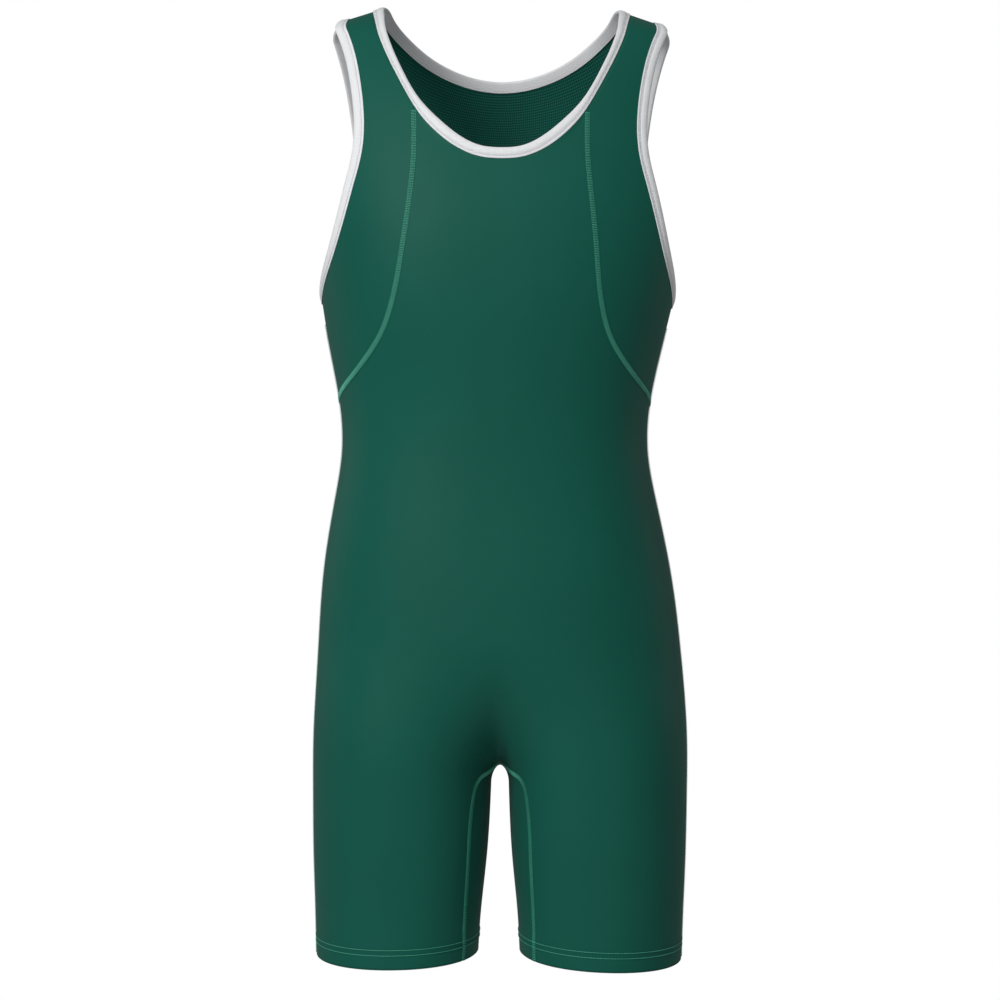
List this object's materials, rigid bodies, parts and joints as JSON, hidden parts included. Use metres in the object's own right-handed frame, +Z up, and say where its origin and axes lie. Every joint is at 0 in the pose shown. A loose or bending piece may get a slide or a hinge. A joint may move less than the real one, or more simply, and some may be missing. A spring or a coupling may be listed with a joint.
{
  "type": "wrestling singlet",
  "caption": "Sleeveless one-piece wrestling singlet with thigh-length legs, in its worn shape, with a scooped neck, bound edges and curved front seams.",
  "frame": {"origin": "midway between the two shoulder straps, at the height where they would rest on a wearer's shoulders", "axes": "+Z up along the garment, -Y out of its front, +X towards the wearer's left"},
  "size_m": [0.3401, 0.2389, 0.869],
  "materials": {
    "green_knit": "smooth stretch knit with a soft satin sheen",
    "white_binding": "matt folded stretch binding with fine cross ribs"
  },
  "bodies": {
    "root": {"front_panel": "green_knit", "back_panel": "green_knit", "left_side_front": "green_knit", "right_side_front": "green_knit", "crotch_gusset": "green_knit", "left_hem_turnup": "green_knit", "right_hem_turnup": "green_knit", "neck_binding": "white_binding", "left_armhole_binding": "white_binding", "right_armhole_binding": "white_binding"}
  },
  "joints": []
}
